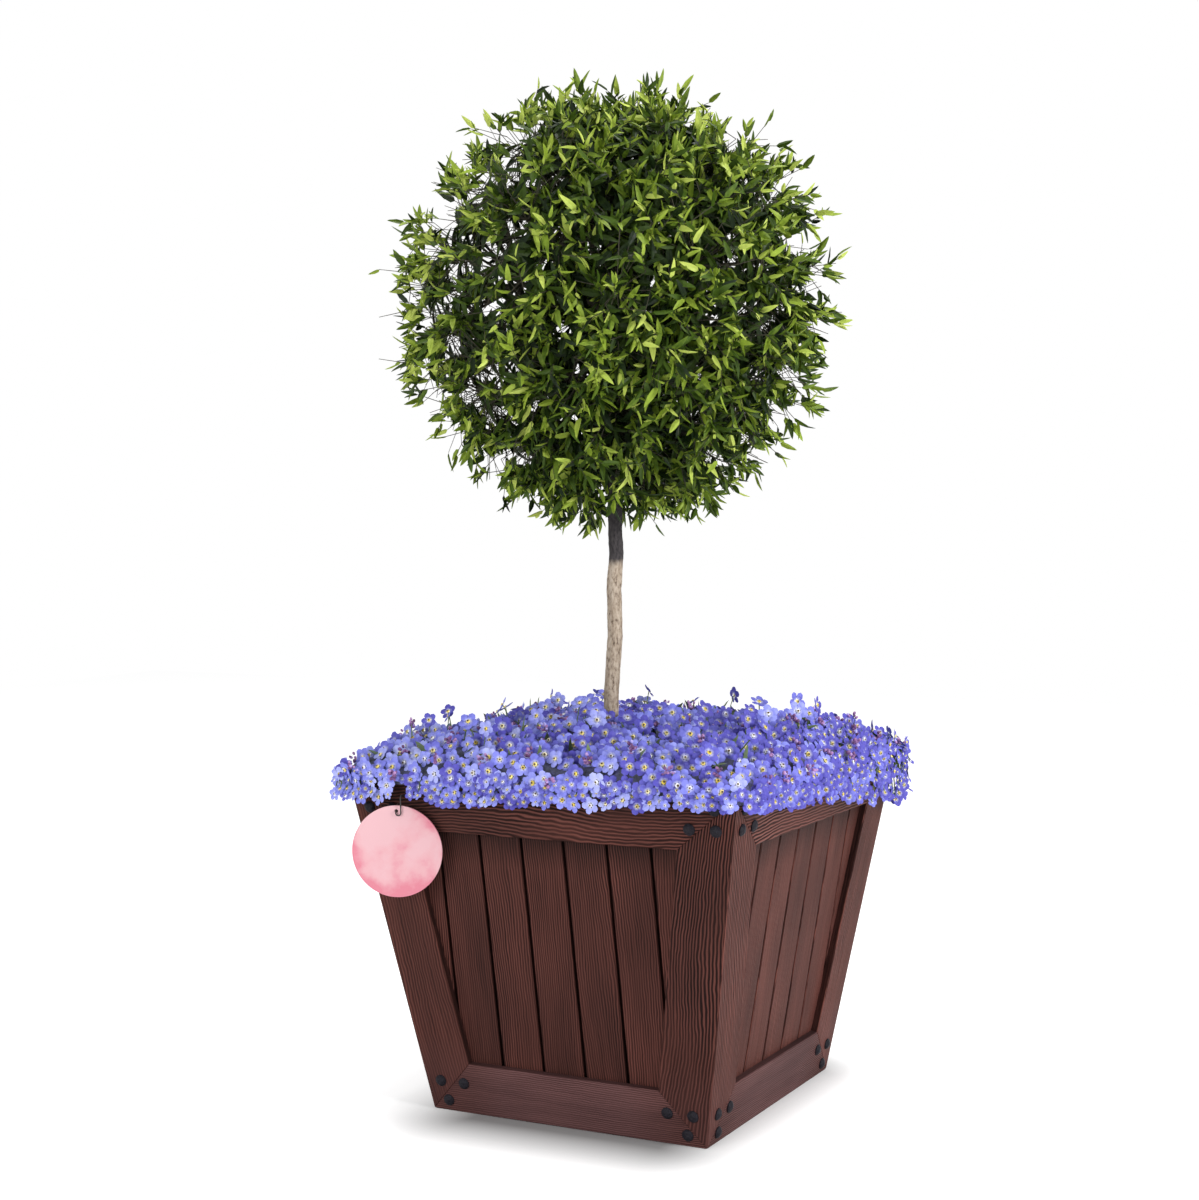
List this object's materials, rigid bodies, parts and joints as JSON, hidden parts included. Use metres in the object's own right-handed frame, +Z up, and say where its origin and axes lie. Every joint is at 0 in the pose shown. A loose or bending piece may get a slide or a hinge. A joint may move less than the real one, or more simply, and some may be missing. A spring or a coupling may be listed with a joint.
{
  "type": "planted balcony planter",
  "caption": "Square tapered wooden planter with framed board sides and stud nails, a lift-out liner with a ball-headed standard tree over blue flowers, and a round hang tag.",
  "frame": {"origin": "middle of the square footprint, on the floor", "axes": "+Z up, -Y out of the front side, +X to the right seen from the front"},
  "size_m": [0.43, 0.4425, 0.978],
  "materials": {
    "frame_wood": "brushed stain",
    "board_wood": "brushed stain",
    "inner_wood": "sawn",
    "stud_iron": "forged black",
    "screw_steel": "plated",
    "liner_plastic": "matte",
    "soil": "crumbly",
    "bark": "bark",
    "leaves": "waxy",
    "flowers": "petals",
    "tag_card": "printed",
    "hook_wire": "satin"
  },
  "bodies": {
    "planter": {"back_board_1": "board_wood", "back_board_2": "board_wood", "back_board_3": "board_wood", "back_board_4": "board_wood", "back_board_5": "board_wood", "back_bottom_rail": "frame_wood", "back_edge_boards": "board_wood", "back_left_post": "inner_wood", "back_left_stile": "frame_wood", "back_right_post": "inner_wood", "back_right_stile": "frame_wood", "back_top_rail": "frame_wood", "floor_bearer": "inner_wood", "floor_ledgers": "inner_wood", "floor_slats": "inner_wood", "front_board_1": "board_wood", "front_board_2": "board_wood", "front_board_3": "board_wood", "front_board_4": "board_wood", "front_board_5": "board_wood", "front_bottom_rail": "frame_wood", "front_edge_boards": "board_wood", "front_left_post": "inner_wood", "front_left_stile": "frame_wood", "front_right_post": "inner_wood", "front_right_stile": "frame_wood", "front_top_rail": "frame_wood", "left_back_stile": "frame_wood", "left_board_1": "board_wood", "left_board_2": "board_wood", "left_board_3": "board_wood", "left_board_4": "board_wood", "left_board_5": "board_wood", "left_bottom_rail": "frame_wood", "left_edge_boards": "board_wood", "left_front_stile": "frame_wood", "left_top_rail": "frame_wood", "post_screws": "screw_steel", "right_back_stile": "frame_wood", "right_board_1": "board_wood", "right_board_2": "board_wood", "right_board_3": "board_wood", "right_board_4": "board_wood", "right_board_5": "board_wood", "right_bottom_rail": "frame_wood", "right_edge_boards": "board_wood", "right_front_stile": "frame_wood", "right_top_rail": "frame_wood", "stud_nails": "stud_iron", "tag_hook": "hook_wire", "top_battens": "inner_wood"},
    "planting": {"liner": "liner_plastic", "soil": "soil", "tree_trunk": "bark", "tree_limbs": "bark", "tree_crown": "leaves", "flower_bed": "flowers"},
    "tag": {"hang_tag": "tag_card"}
  },
  "joints": [
    {"name": "planting_lift", "type": "slide", "parent": "planter", "child": "planting", "axis": [0, 0, 1], "range_m": [0, 0.3]},
    {"name": "tag_swing", "type": "hinge", "parent": "planter", "child": "tag", "pos_m": [-0.137, -0.212, 0.29635], "axis": [0.342, -0.9397, 0], "range_deg": [-45, 25]}
  ]
}
